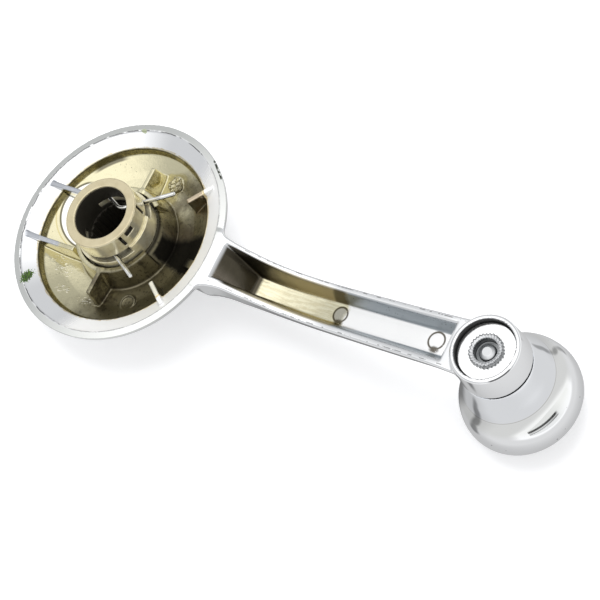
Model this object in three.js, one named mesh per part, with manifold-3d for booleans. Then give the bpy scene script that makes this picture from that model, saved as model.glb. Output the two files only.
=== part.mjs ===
// Car window winder handle, seen from the door side: a die-cast crank with a steel shaft socket,
// its wire clip, and a turning knob on a riveted pin.
// Millimetres. The origin is on the shaft axis, in the plane of the cup's rim. +Z points out of
// the back towards the door, and +X along the arm towards the knob.
import * as THREE from 'three';
import { mergeVertices } from 'three/addons/utils/BufferGeometryUtils.js';
import Module from 'manifold-3d';

const wasm = await Module();
wasm.setup();

// Driving sizes
const reach = 96.5;
const overrun = 2;
const touchGap = 0.15;

const cup = {
  radius: 27, lipWidth: 1.3, lipRound: 0.6, edgeDepth: 1.6, frontWall: 2.3, floorWall: 3.7,
  coneWidth: 5.4, stepDraft: 0.6, dish: 0.7, buried: 1, sides: 72,
};
const hubRing = {
  radius: 10.8, baseRadius: 12.2, seatRadius: 9.6, seatDepth: 1.3, boreRadius: 8.15, boreGap: 0.2,
};
const web = { topThickness: 1.1, baseThickness: 1.8, flank: 1.4 };
const rib = { start: 8.8, end: 16.3, offset: 0.9 };
const fin = { start: 8.8, rimGap: 3.5, offset: 6.7, skew: 0.9, drop: 0.3, tailInset: 9.8, tailRimGap: 3.4 };
const tailFins = [{ angle: 48.8, side: -2.75 }, { angle: -36, side: 1.25 }];
const mark = { sprueRadius: 1.8, sprueHeight: 0.7, ejectorRadius: 2.1, ejectorHeight: 0.35 };

const arm = {
  halfWidth: 5.5, railDip: 6.2, depth: 12.6, edge: 0.45, startX: 1, sections: 34,
  channelGap: 1, channelRamp: 5.6, channelEndWall: 2.3, channelSkew: 0.5, channelSteps: 20,
  mouthHalfWidth: 3.9, floorHalfWidth: 2.5, floorDepth: 10.6,
};
const boss = {
  radius: 7.6, baseRadius: 8.05, depth: 7.2, round: 0.5, roundMiddle: 0.15,
  recessRadius: 6.6, recessDepth: 2, holeRadius: 3.2,
};

const socket = {
  top: 8.3, collarRadius: 8.7, chamfer: 0.3, boreRadius: 6.45, flangeRadius: 9.3, height: 15.5,
  slotFloor: 1.6, slotHeight: 1.6, neckRadius: 7.9, frontPost: 4, rearPost: 3.2,
  splineTop: 0.5, splineDepth: 0.55, splineCount: 24, sides: 48,
  windowWidth: 2.3, windowHeight: 1.5, windowDrop: 0.8, slitWidth: 0.7, slitHeight: 3.6, slitDrop: 0.6,
};
const wire = {
  diameter: 1, waistX: -0.2, waistY: 3.9, tipX: 11.4, tipY: 10.6, tipSkew: 0.5,
  shoulderX: -5.6, shoulderY: 6.3, loopX: -9.3, loopY: 4.2,
  waistBend: 1.2, shoulderBend: 2.1, loopBend: 3.8, steps: 64,
};

const washer = { edgeGap: 0.5, shankGap: 0.15, thickness: 0.5 };
const pin = {
  shankRadius: 2.95, journalRadius: 4, headRadius: 6.2, headThickness: 1.3, flareRadius: 3.87,
  flareHeight: 1.05, flareEdge: 0.27, hollowRadius: 2.6, hollowDepth: 2.2, nubRadius: 1.85, nubTip: 1,
  nubHeight: 1.1, sides: 32,
};
const bowWasher = { radius: 6.6, thickness: 0.35 };
const knob = {
  neckRadius: 8, radius: 13.4, gap: 0.6, height: 19.4, rimRound: 2, wall: 1.4,
  tubeRadius: 6.6, cavityDepth: 6.2, cavityFloor: 4, seatWidth: 1.2, seatGap: 0.4, edge: 0.4, sides: 48,
};
const bush = { wall: 1.1, endGap: 0.4, flangeRadius: 6.3, flangeThickness: 0.7 };
const cap = { thickness: 1.1, rise: 3.1, skirt: 1.6, steps: 7 };

// Shares of the reach along the arm, shares of the sizes there, curve powers and angles in degrees
const railStationShares = [
  0, 0.265, 0.29, 0.321, 0.363, 0.404, 0.466, 0.549, 0.632, 0.715, 0.798, 0.891, 0.98,
];
const railDipShares = [0.02, 0.02, 0.03, 0.13, 0.42, 0.68, 0.93, 1, 0.92, 0.81, 0.68, 0.53, 0.47];
const widthShares = [0.5, 1.2, 1.1, 1, 0.97, 0.95, 0.955, 0.98, 1, 1.02, 1.04, 1.08, 1.16];
const bellyShares = [0.55, 1.15, 1.05, 0.97, 0.94, 0.91, 0.9, 0.91, 0.93, 0.95, 0.97, 1, 1.1];
const frontStationShares = [0, 0.1, 0.2, 0.31, 0.41, 0.52, 0.6, 0.72, 0.84, 0.9, 0.98];
const frontDepthShares = [0.76, 0.81, 0.86, 0.93, 0.985, 0.985, 0.935, 0.835, 0.72, 0.63, 0.53];
const channelStationShares = [0.26, 0.36, 0.43, 0.52, 0.6, 0.735, 0.84, 0.92];
const channelFloorShares = [0.9, 0.96, 1, 0.98, 0.905, 0.775, 0.67, 0.62];
const channelWidthShares = [1.1, 0.97, 0.94, 0.97, 1, 1.05, 1.1, 1.14];
const waistShare = 0.42;
const coneDropShare = 0.3;
const stepDropShare = 0.2833;
const domeCurve = 3;
const flareDepthShares = [
  0.02, 0.165, 0.273, 0.387, 0.459, 0.526, 0.588, 0.639, 0.691, 0.753, 0.814, 0.866, 0.918, 0.959, 0.985, 1,
];
const flareRadiusShares = [
  0.022, 0.176, 0.3, 0.426, 0.515, 0.617, 0.731, 0.824, 0.898, 0.954, 0.99, 1, 0.972, 0.898, 0.806, 0.667,
];
const bellyAngles = [20, 40, 58, 75];
const collarSlitAngle = 28;
const collarWindowAngle = -11;
const rearFinAngle = 180;
const hubGapAngles = [-17, 50];
const sprueAngle = 72;
const ejectorAngle = -60;

// Sizes that follow from the driving ones
const hubBoreDepth = socket.height - socket.top + hubRing.boreGap;
const frontDepth = hubBoreDepth + cup.frontWall;
const floorDepth = frontDepth - cup.floorWall;
const coneDrop = floorDepth * coneDropShare;
const stepDepth = floorDepth * stepDropShare;
const stepRadius = cup.radius - cup.coneWidth;
const stepFoot = stepRadius - cup.stepDraft;
const markDistance = (hubRing.baseRadius + stepFoot) / 2;
const washerRadius = boss.recessRadius - washer.edgeGap;

// Tools for closed solids
function weld(geometry) {
  const bare = geometry.index ? geometry.toNonIndexed() : geometry.clone();
  bare.deleteAttribute('normal');
  bare.deleteAttribute('uv');
  const merged = mergeVertices(bare, 1e-5);
  const index = merged.index.array;
  const kept = [];
  for (let i = 0; i < index.length; i += 3) {
    const [a, b, c] = [index[i], index[i + 1], index[i + 2]];
    if (a !== b && b !== c && c !== a) kept.push(a, b, c);
  }
  merged.setIndex(kept);
  return merged;
}

function solid(geometry) {
  const merged = weld(geometry);
  return new wasm.Manifold(new wasm.Mesh({
    numProp: 3,
    vertProperties: new Float32Array(merged.attributes.position.array),
    triVerts: new Uint32Array(merged.index.array),
  }));
}

function surface(manifold) {
  const mesh = manifold.getMesh();
  const geometry = new THREE.BufferGeometry();
  geometry.setAttribute('position', new THREE.BufferAttribute(new Float32Array(mesh.vertProperties), 3));
  geometry.setIndex(new THREE.BufferAttribute(new Uint32Array(mesh.triVerts), 1));
  geometry.computeVertexNormals();
  return geometry;
}

// A turned shape about Z from [radius, height] points that run anticlockwise in the half plane
function turned(points, sides, x = 0) {
  const profile = points.map(([radius, height]) => new THREE.Vector2(radius, height));
  return new THREE.LatheGeometry(profile, sides).rotateX(Math.PI / 2).translate(x, 0, 0);
}

const ring = (inner, outer, low, high) => [
  [inner, low], [outer, low], [outer, high], [inner, high], [inner, low],
];
const disc = (radius, low, high) => [[0, low], [radius, low], [radius, high], [0, high]];

function block(x0, x1, y0, y1, z0, z1) {
  const box = new THREE.BoxGeometry(x1 - x0, y1 - y0, z1 - z0);
  return box.translate((x0 + x1) / 2, (y0 + y1) / 2, (z0 + z1) / 2);
}

// A closed skin over convex sections with equal numbers of points
function loft(sections) {
  const count = sections[0].length;
  const vertices = sections.flat();
  const triangles = [];
  for (let s = 0; s + 1 < sections.length; s += 1) {
    for (let i = 0; i < count; i += 1) {
      const here = s * count + i;
      const beside = s * count + ((i + 1) % count);
      triangles.push(here, beside, here + count, beside, beside + count, here + count);
    }
  }
  const last = (sections.length - 1) * count;
  for (let i = 1; i + 1 < count; i += 1) {
    triangles.push(0, i + 1, i, last, last + i, last + i + 1);
  }
  const geometry = new THREE.BufferGeometry();
  geometry.setAttribute('position', new THREE.Float32BufferAttribute(vertices.flat(), 3));
  geometry.setIndex(triangles);
  return geometry;
}

// A smooth curve through a table of shares, with its slope taken from the neighbours
function follow(stations, values, unit) {
  const slope = (i) => {
    const before = Math.max(i - 1, 0);
    const after = Math.min(i + 1, stations.length - 1);
    return (values[after] - values[before]) / (stations[after] - stations[before]);
  };
  return (x) => {
    const share = x / reach;
    let i = 0;
    while (i + 2 < stations.length && share > stations[i + 1]) i += 1;
    const span = stations[i + 1] - stations[i];
    const t = Math.min(Math.max((share - stations[i]) / span, 0), 1);
    const [t2, t3] = [t * t, t * t * t];
    const level = values[i] * (2 * t3 - 3 * t2 + 1) + values[i + 1] * (3 * t2 - 2 * t3);
    const lean = slope(i) * (t3 - 2 * t2 + t) + slope(i + 1) * (t3 - t2);
    return unit * (level + lean * span);
  };
}

const railHeight = follow(railStationShares, railDipShares, -arm.railDip);
const railHalfWidth = follow(railStationShares, widthShares, arm.halfWidth);
const bellyHalfWidth = follow(railStationShares, bellyShares, arm.halfWidth);
const armFront = follow(frontStationShares, frontDepthShares, -arm.depth);
const channelFloor = follow(channelStationShares, channelFloorShares, -arm.floorDepth);
const channelWidth = follow(channelStationShares, channelWidthShares, 1);

// The casting: cup, arm and boss in one piece
function cupFront(radius) {
  const share = radius / (cup.radius - cup.lipRound);
  return -frontDepth + (frontDepth - cup.edgeDepth) * share ** domeCurve;
}

function domeProfile(outerRadius, raise, steps) {
  const front = [];
  for (let i = 0; i <= steps; i += 1) {
    const radius = (outerRadius * i) / steps;
    front.push([radius, cupFront(radius) + raise]);
  }
  return front;
}

function cupBlank() {
  const front = domeProfile(cup.radius - cup.lipRound, 0, 8);
  const side = [[cup.radius, cup.lipRound - cup.edgeDepth], [cup.radius, -cup.lipRound]];
  return turned([...front, ...side, [cup.radius - cup.lipRound, 0], [0, 0]], cup.sides);
}

// What stands inside the cup ends within the wall, this far short of the front
function cupCore() {
  const inside = cup.radius - cup.lipWidth;
  return turned([...domeProfile(inside, cup.buried, 6), [inside, 0], [0, 0]], cup.sides);
}

function cupVoid() {
  const lip = cup.radius - cup.lipWidth;
  const stepLow = -coneDrop - stepDepth;
  return turned([
    [0, -floorDepth], [hubRing.baseRadius, -floorDepth],
    [(hubRing.baseRadius + stepFoot) / 2, (stepLow - floorDepth) / 2 - cup.dish],
    [stepFoot, stepLow], [stepRadius, -coneDrop], [lip, -cup.lipRound / 3],
    [lip, overrun], [0, overrun],
  ], cup.sides);
}

function armSection(x) {
  const back = railHeight(x);
  const front = armFront(x);
  const [half, belly] = [railHalfWidth(x), bellyHalfWidth(x)];
  const waist = back + (front - back) * waistShare;
  const side = [[half - arm.edge, back], [half, back - arm.edge], [belly, waist]];
  for (const angle of bellyAngles) {
    const turn = THREE.MathUtils.degToRad(angle);
    side.push([belly * Math.cos(turn), waist + (front - waist) * Math.sin(turn)]);
  }
  const mirrored = side.map(([y, z]) => [-y, z]);
  return [...mirrored, ...side.reverse()].map(([y, z]) => [x, y, z]);
}

function armBlank() {
  const sections = [];
  const endX = reach - boss.holeRadius;
  for (let i = 0; i <= arm.sections; i += 1) {
    sections.push(armSection(arm.startX + ((endX - arm.startX) * i) / arm.sections));
  }
  return loft(sections);
}

// The channel's cup end is a ramp set a little to one side, and each section leans less than the one before
function channelCutter() {
  const sections = [];
  const startX = cup.radius + arm.channelGap;
  const endX = reach - boss.radius - arm.channelEndWall;
  for (let i = 0; i <= arm.channelSteps; i += 1) {
    const left = 1 - i / arm.channelSteps;
    const aside = arm.channelSkew * left ** domeCurve;
    const mouthX = endX - (endX - startX) * left;
    const floorX = endX - (endX - startX - arm.channelRamp) * left;
    const low = channelFloor(floorX);
    const rail = railHeight(mouthX);
    const floorHalf = arm.floorHalfWidth * channelWidth(floorX);
    const mouthHalf = arm.mouthHalfWidth * channelWidth(mouthX);
    const drift = (mouthHalf - floorHalf) * (overrun / (rail - low));
    const lean = (mouthX - floorX) * (overrun / (rail - low));
    const half = [[floorX, floorHalf, low], [mouthX + lean, mouthHalf + drift, rail + overrun]];
    const section = [...half.map(([x, y, z]) => [x, -y, z]).reverse(), ...half];
    sections.push(section.map(([x, y, z]) => [x, y + aside, z]));
  }
  return loft(sections);
}

// An upright web with draft, its inner end buried and its outer flank sloping down
function uprightWeb(start, end, side, angle, drop = 0) {
  const [top, base] = [web.topThickness / 2, web.baseThickness / 2];
  const low = -frontDepth;
  const section = (x, lowX) => [
    [x, side - top, -drop], [lowX, side - base, low], [lowX, side + base, low], [x, side + top, -drop],
  ];
  const shape = loft([section(start, start), section(end, end + web.flank)]);
  return shape.rotateZ(THREE.MathUtils.degToRad(angle));
}

function castPad(radius, height, angle) {
  const turn = THREE.MathUtils.degToRad(angle);
  const shape = turned(disc(radius, -floorDepth - height, height - floorDepth + cup.lipRound), 20);
  return shape.translate(markDistance * Math.cos(turn), markDistance * Math.sin(turn), 0);
}

// The hub's ring is open towards the arm: its wall slopes there from the socket's seat to the floor
function hubGapCutter() {
  const slope = turned([
    [hubRing.seatRadius, -hubRing.seatDepth], [hubRing.baseRadius, -floorDepth],
    [hubRing.baseRadius, overrun], [hubRing.seatRadius, overrun], [hubRing.seatRadius, -hubRing.seatDepth],
  ], cup.sides);
  const corners = hubGapAngles.map((angle) => {
    const turn = THREE.MathUtils.degToRad(angle);
    return new THREE.Vector2(Math.cos(turn), Math.sin(turn)).multiplyScalar(cup.radius);
  });
  const sector = new THREE.Shape([new THREE.Vector2(0, 0), ...corners]);
  const depth = floorDepth + overrun * 2;
  const wedge = new THREE.ExtrudeGeometry(sector, { depth, bevelEnabled: false });
  return solid(slope).intersect(solid(wedge.translate(0, 0, overrun - depth)));
}

function handleCasting() {
  const core = solid(cupCore());
  const bossProfile = [
    [0, -boss.depth], [boss.baseRadius, -boss.depth], [boss.radius, -boss.round],
    [boss.radius - boss.roundMiddle, -boss.roundMiddle], [boss.radius - boss.round, 0], [0, 0],
  ];
  const hub = solid(turned([
    [0, -floorDepth - cup.buried], [hubRing.baseRadius, -floorDepth - cup.buried],
    [hubRing.radius, 0], [0, 0],
  ], cup.sides));
  let body = solid(cupBlank()).add(solid(armBlank())).add(solid(turned(bossProfile, socket.sides, reach)));
  body = body.subtract(solid(cupVoid())).subtract(solid(channelCutter()));
  const finEnd = cup.radius - fin.rimGap;
  const [tailStart, tailEnd] = [cup.radius - fin.tailInset, cup.radius - fin.tailRimGap];
  const upright = [
    uprightWeb(rib.start, rib.end, -rib.offset, 90), uprightWeb(rib.start, rib.end, rib.offset, -90),
    uprightWeb(fin.start, finEnd, fin.offset + fin.skew, rearFinAngle, fin.drop),
    uprightWeb(fin.start, finEnd, fin.skew - fin.offset, rearFinAngle, fin.drop),
    ...tailFins.map(({ angle, side }) => uprightWeb(tailStart, tailEnd, side, angle, fin.drop)),
  ];
  for (const shape of upright) body = body.add(solid(shape).intersect(core));
  body = body.add(solid(castPad(mark.sprueRadius, mark.sprueHeight, sprueAngle)).intersect(core));
  body = body.add(solid(castPad(mark.ejectorRadius, mark.ejectorHeight, ejectorAngle)).intersect(core));
  body = body.add(hub).subtract(hubGapCutter());
  const cuts = [
    turned(disc(hubRing.seatRadius, -hubRing.seatDepth, overrun), cup.sides),
    turned(disc(hubRing.boreRadius, -hubBoreDepth, overrun), cup.sides),
    turned(disc(boss.recessRadius, -boss.recessDepth, overrun), socket.sides, reach),
    turned(disc(boss.holeRadius, -boss.depth - overrun, overrun), pin.sides, reach),
    turned(disc(boss.baseRadius + knob.gap, -arm.depth - overrun, -boss.depth), socket.sides, reach),
  ];
  for (const cut of cuts) body = body.subtract(solid(cut));
  return surface(body);
}

// The steel socket: collar, milled clip slots, flange and internal splines
function splineCutter() {
  const outline = new THREE.Shape();
  const count = socket.splineCount * 2;
  for (let i = 0; i < count; i += 1) {
    const radius = socket.boreRadius - (i % 2 ? socket.splineDepth : 0);
    const turn = (2 * Math.PI * i) / count;
    const place = [radius * Math.cos(turn), radius * Math.sin(turn)];
    if (i === 0) outline.moveTo(...place);
    else outline.lineTo(...place);
  }
  const height = socket.height + overrun;
  const shape = new THREE.ExtrudeGeometry(outline, { depth: height, bevelEnabled: false, steps: 1 });
  return shape.translate(0, 0, socket.splineTop - height);
}

function radialSlot(far, width, low, high, angle) {
  const shape = block(0, far, -width / 2, width / 2, low, high);
  return solid(shape.rotateZ(THREE.MathUtils.degToRad(angle)));
}

function hubSocket() {
  const bottom = socket.top - socket.height;
  const seat = -hubRing.seatDepth;
  const bodyRadius = hubRing.boreRadius - touchGap;
  const slotTop = socket.slotFloor + socket.slotHeight;
  let body = solid(turned([
    [0, bottom], [bodyRadius, bottom], [bodyRadius, seat], [socket.flangeRadius, seat],
    [socket.flangeRadius, slotTop], [socket.collarRadius, slotTop],
    [socket.collarRadius, socket.top - socket.chamfer], [socket.collarRadius - socket.chamfer, socket.top],
    [0, socket.top],
  ], socket.sides));
  // the groove for the clip's loop is at the rear alone
  const far = socket.flangeRadius + overrun;
  const groove = turned(ring(socket.neckRadius, far, socket.slotFloor, slotTop), socket.sides);
  const rearHalf = block(-far * 2, 0, -far * 2, far * 2, -overrun, socket.top);
  body = body.subtract(solid(groove).intersect(solid(rearHalf)));
  const bore = disc(socket.boreRadius, socket.splineTop, socket.top + overrun);
  body = body.subtract(solid(turned(bore, socket.sides)));
  body = body.subtract(solid(splineCutter()));
  for (const side of [1, -1]) {
    for (const [x0, x1, post] of [[-far, 0, socket.rearPost], [0, far, socket.frontPost]]) {
      const [near, away] = [Math.min(side * post, side * far), Math.max(side * post, side * far)];
      body = body.subtract(solid(block(x0, x1, near, away, socket.slotFloor, slotTop)));
    }
    const slitTop = socket.top - socket.slitDrop;
    const slitLow = slitTop - socket.slitHeight;
    body = body.subtract(radialSlot(far, socket.slitWidth, slitLow, slitTop, side * collarSlitAngle));
  }
  const windowTop = socket.top - socket.windowDrop;
  const windowLow = windowTop - socket.windowHeight;
  return surface(body.subtract(radialSlot(far, socket.windowWidth, windowLow, windowTop, collarWindowAngle)));
}

// The spring wire clip: a closed loop behind the collar, legs across the bore and splayed tails
function clipPath(height) {
  const half = [
    [wire.tipX, wire.tipY], [wire.waistX, wire.waistY],
    [wire.shoulderX, wire.shoulderY], [wire.loopX, wire.loopY],
  ];
  const corners = [...half, ...half.map(([x, y]) => [x, -y]).reverse()];
  const points = corners.map(([x, y]) => new THREE.Vector3(x, y, height));
  for (const tip of [points[0], points[points.length - 1]]) tip.y += wire.tipSkew;
  const bends = [0, wire.waistBend, wire.shoulderBend, wire.loopBend];
  const cutBack = [...bends, ...bends.slice().reverse()];
  const path = new THREE.CurvePath();
  let from = points[0];
  for (let i = 1; i + 1 < points.length; i += 1) {
    const before = Math.min(cutBack[i], points[i].distanceTo(points[i - 1]) / 2);
    const after = Math.min(cutBack[i], points[i].distanceTo(points[i + 1]) / 2);
    const enter = points[i].clone().lerp(points[i - 1], before / points[i].distanceTo(points[i - 1]));
    const leave = points[i].clone().lerp(points[i + 1], after / points[i].distanceTo(points[i + 1]));
    path.add(new THREE.LineCurve3(from, enter));
    path.add(new THREE.QuadraticBezierCurve3(enter, points[i], leave));
    from = leave;
  }
  path.add(new THREE.LineCurve3(from, points[points.length - 1]));
  return path;
}

function retainingClip() {
  const section = new THREE.Shape().absarc(0, 0, wire.diameter / 2, 0, 2 * Math.PI);
  const height = socket.slotFloor + socket.slotHeight / 2;
  const options = { steps: wire.steps, extrudePath: clipPath(height), curveSegments: 4, bevelEnabled: false };
  return new THREE.ExtrudeGeometry(section, options);
}

// The knob and its riveted pin, all on the axis at the end of the arm
const washerLow = -boss.recessDepth;
const washerTop = washerLow + washer.thickness;
const knobTop = -boss.depth - knob.gap;
const knobRim = knobTop - knob.height;
const headTop = knobRim + cap.skirt + pin.headThickness;
const bushLow = headTop + bush.endGap;
const bushOuter = pin.journalRadius + touchGap + bush.wall;

function knobPin() {
  const flareTop = washerTop + pin.flareHeight;
  const hollowLow = flareTop - pin.hollowDepth;
  const edge = pin.flareEdge;
  const headLow = headTop - pin.headThickness;
  return turned([
    [0, headLow], [pin.headRadius - edge, headLow], [pin.headRadius, headLow + edge],
    [pin.headRadius, headTop], [pin.journalRadius, headTop], [pin.journalRadius, -boss.depth],
    [pin.shankRadius, -boss.depth], [pin.shankRadius, washerTop],
    [pin.flareRadius, washerTop], [pin.flareRadius, flareTop - edge],
    [(pin.flareRadius + pin.hollowRadius) / 2, flareTop], [pin.hollowRadius, flareTop - edge],
    [pin.hollowRadius, hollowLow], [pin.nubRadius, hollowLow], [pin.nubRadius, hollowLow + pin.nubHeight / 2],
    [pin.nubTip, hollowLow + pin.nubHeight], [0, hollowLow + pin.nubHeight],
  ], pin.sides, reach);
}

function knobShell() {
  const outer = flareDepthShares.map((share, i) => [
    knob.neckRadius + (knob.radius - knob.neckRadius) * flareRadiusShares[i],
    knobTop - knob.height * share,
  ]);
  const seatRadius = knob.radius - knob.rimRound - knob.seatGap;
  const seatFloor = knobRim + cap.thickness;
  const cavityTop = knobTop - knob.cavityDepth;
  const shell = [
    [knob.neckRadius - knob.edge, knobTop], ...outer,
    [seatRadius, knobRim], [seatRadius, seatFloor], [seatRadius - knob.seatWidth, seatFloor],
    [seatRadius - knob.seatWidth, knobRim + knob.cavityFloor], [knob.tubeRadius + knob.wall, cavityTop],
    [knob.tubeRadius, cavityTop], [knob.tubeRadius, bushLow + bush.flangeThickness],
    [bushOuter + touchGap, bushLow + bush.flangeThickness], [bushOuter + touchGap, knobTop],
    [knob.neckRadius - knob.edge, knobTop],
  ];
  return turned(shell.reverse(), knob.sides, reach);
}

function knobBush() {
  const inner = pin.journalRadius + touchGap;
  const flangeTop = bushLow + bush.flangeThickness;
  const high = knobTop - touchGap;
  return turned([
    [inner, bushLow], [bush.flangeRadius, bushLow], [bush.flangeRadius, flangeTop], [bushOuter, flangeTop],
    [bushOuter, high], [inner, high], [inner, bushLow],
  ], pin.sides, reach);
}

function knobCap() {
  const radius = knob.radius - knob.rimRound - knob.seatGap - touchGap;
  const inner = radius - knob.seatWidth - touchGap;
  const top = knobRim + cap.thickness;
  const dome = (share, rise) => -rise * Math.sqrt(1 - share * share);
  const outer = [];
  const hollow = [];
  for (let i = 0; i <= cap.steps; i += 1) {
    const share = Math.sin((Math.PI / 2) * (i / cap.steps));
    outer.push([radius * share, knobRim + dome(share, cap.rise)]);
    hollow.push([inner * share, top + dome(share, cap.rise)]);
  }
  return turned([...outer, [radius, top], ...hollow.reverse()], knob.sides, reach);
}

function flatWasher(inner, outer, low, high) {
  return turned(ring(inner, outer, low, high), pin.sides, reach);
}

// Finishes
const finishes = {
  chrome: { color: 0xd9dce0, roughness: 0.12, metalness: 1 },
  nickel: { color: 0xc9b98d, roughness: 0.28, metalness: 1 },
  wireSteel: { color: 0xe2e2de, roughness: 0.25, metalness: 1 },
  zincSteel: { color: 0xb9bcc0, roughness: 0.4, metalness: 1 },
  brass: { color: 0xb8944a, roughness: 0.35, metalness: 1 },
};

function piece(name, geometry, finish) {
  const mesh = new THREE.Mesh(weld(geometry), new THREE.MeshStandardMaterial(finishes[finish]));
  mesh.name = name;
  return mesh;
}

const washerHole = pin.shankRadius + washer.shankGap;
const bowHole = pin.journalRadius + touchGap * 2;
const bowLow = -boss.depth - bowWasher.thickness;
const group = new THREE.Group();
group.add(
  piece('handle_casting', handleCasting(), 'chrome'),
  piece('hub_socket', hubSocket(), 'nickel'),
  piece('retaining_clip', retainingClip(), 'wireSteel'),
  piece('knob_pin', knobPin(), 'zincSteel'),
  piece('rivet_washer', flatWasher(washerHole, washerRadius, washerLow, washerTop), 'zincSteel'),
  piece('bow_washer', flatWasher(bowHole, bowWasher.radius, bowLow, -boss.depth), 'zincSteel'),
  piece('knob_shell', knobShell(), 'chrome'),
  piece('knob_bush', knobBush(), 'brass'),
  piece('knob_cap', knobCap(), 'chrome'),
);

export default group;
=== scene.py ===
import math
import bpy
import numpy as np
from mathutils import Matrix, Vector


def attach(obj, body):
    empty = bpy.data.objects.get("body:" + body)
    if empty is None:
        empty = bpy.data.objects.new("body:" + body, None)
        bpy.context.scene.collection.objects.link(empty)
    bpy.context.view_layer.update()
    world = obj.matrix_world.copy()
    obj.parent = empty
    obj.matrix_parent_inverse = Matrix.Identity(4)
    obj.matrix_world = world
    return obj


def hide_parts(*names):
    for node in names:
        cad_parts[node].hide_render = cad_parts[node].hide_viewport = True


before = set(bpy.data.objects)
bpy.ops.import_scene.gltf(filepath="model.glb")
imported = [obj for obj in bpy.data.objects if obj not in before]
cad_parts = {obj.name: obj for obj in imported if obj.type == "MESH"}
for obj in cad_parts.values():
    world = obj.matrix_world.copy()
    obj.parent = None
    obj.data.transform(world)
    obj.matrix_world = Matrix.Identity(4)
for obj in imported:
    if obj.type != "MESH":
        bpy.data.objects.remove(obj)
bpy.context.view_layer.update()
print("frame loaded")

mm = 0.001
reach = 96.5


# Distances out along a line that is turned about the origin, and aside from it to its left
def outAlong(x, y, degrees):
    return x * math.cos(math.radians(degrees)) + y * math.sin(math.radians(degrees))


def aside(x, y, degrees):
    return y * math.cos(math.radians(degrees)) - x * math.sin(math.radians(degrees))


def newObject(name, data):
    made = bpy.data.objects.new(name, data)
    bpy.context.scene.collection.objects.link(made)
    return made


# Camera of the photograph

camera = {
    "place": (0.274631, -0.100151, 0.345919),
    "right": (0.80768, 0.43695, -0.39589),
    "down": (0.26609, -0.86928, -0.41658),
    "forward": (-0.52616, 0.23112, -0.81837),
    "lens": 120, "sensor": 36, "clipStart": 0.01,
}


def addCamera():
    data = bpy.data.cameras.new("camera")
    data.lens = camera["lens"]
    data.sensor_width = camera["sensor"]
    data.sensor_height = camera["sensor"]
    data.clip_start = camera["clipStart"]
    eye = newObject("camera", data)
    axes = Matrix((camera["right"], -Vector(camera["down"]), -Vector(camera["forward"]))).transposed()
    eye.matrix_world = Matrix.Translation(camera["place"]) @ axes.to_4x4()
    bpy.context.scene.camera = eye


addCamera()
print("camera placed")


# Shader arithmetic: a value is a socket that takes part in plain Python sums

class Value:
    def __init__(self, tree, socket):
        self.tree = tree
        self.socket = socket

    def sum(self, operation, left, right=0.0):
        return self.tree.node("Math", {0: left, 1: right}, {"operation": operation})

    def __add__(self, other):
        return self.sum("ADD", self, other)

    def __sub__(self, other):
        return self.sum("SUBTRACT", self, other)

    def __rsub__(self, other):
        return self.sum("SUBTRACT", other, self)

    def __mul__(self, other):
        return self.sum("MULTIPLY", self, other)

    def __truediv__(self, other):
        return self.sum("DIVIDE", self, other)

    def __rtruediv__(self, other):
        return self.sum("DIVIDE", other, self)

    def __pow__(self, other):
        return self.sum("POWER", self, other)

    def __abs__(self):
        return self.sum("ABSOLUTE", self)

    def above(self, other):
        return self.sum("MAXIMUM", self, other)

    def below(self, other):
        return self.sum("MINIMUM", self, other)

    __radd__ = __add__
    __rmul__ = __mul__


# The nodes of a material or of the world
class Tree:
    def __init__(self, owner):
        owner.use_nodes = True
        self.owner = owner
        self.nodeTree = owner.node_tree
        self.nodeTree.nodes.clear()

    # Adds a node with a value or a link for each socket, after the settings that decide its sockets
    def node(self, kind, sockets=None, settings=None, out=0):
        made = self.nodeTree.nodes.new("ShaderNode" + kind)
        for key, setting in (settings or {}).items():
            setattr(made, key, setting)
        for key, value in (sockets or {}).items():
            socket = made.inputs[key]
            if isinstance(value, Value):
                self.nodeTree.links.new(value.socket, socket)
            else:
                socket.default_value = value
        return Value(self, made.outputs[out]) if made.outputs else made

    def other(self, value, name):
        return Value(self, value.socket.node.outputs[name])

    def parts(self, vector):
        x = self.node("SeparateXYZ", {0: vector})
        return x, self.other(x, "Y"), self.other(x, "Z")

    def vector(self, x, y=0.0, z=0.0):
        return self.node("CombineXYZ", {0: x, 1: y, 2: z})

    # Whether a ray comes from the camera, through glass as well, and whether from polished metal
    def rays(self):
        path = self.node("LightPath", out="Is Camera Ray")
        return path.above(self.other(path, "Is Transmission Ray")), self.other(path, "Is Glossy Ray")

    def inMillimetres(self, place):
        return self.node("VectorMath", {0: place, "Scale": 1 / mm}, {"operation": "SCALE"})

    def length(self, across, along):
        return (across * across + along * along) ** 0.5

    # 0 at the first limit and beyond it, 1 at the second and beyond, smooth between; either may be lower
    def fade(self, value, none, full):
        low, high, ends = (none, full, {3: 0.0, 4: 1.0}) if none < full else (full, none, {3: 1.0, 4: 0.0})
        sockets = {0: value, 1: low, 2: high, **ends}
        return self.node("MapRange", sockets, {"interpolation_type": "SMOOTHSTEP"})

    # 0 as far from the middle as the first distance, 1 as near as the second
    def band(self, value, middle, none, full):
        return self.fade(abs(value - middle), none, full)

    # A shade is a value, three numbers or a name among the shades
    def colour(self, shade):
        shade = shades[shade] if isinstance(shade, str) else shade
        return shade if isinstance(shade, Value) else (*shade, 1.0)

    def mix(self, share, first, second):
        sockets = {0: share, 6: self.colour(first), 7: self.colour(second)}
        return self.node("Mix", sockets, {"data_type": "RGBA"}, out=2)

    def noise(self, place, scale, detail=3.0, roughness=0.55, distortion=0.0):
        sockets = {"Vector": place, "Scale": scale, "Detail": detail}
        return self.node("TexNoise", {**sockets, "Roughness": roughness, "Distortion": distortion})

    def dots(self, place, scale):
        return self.node("TexVoronoi", {"Vector": place, "Scale": scale})


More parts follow.
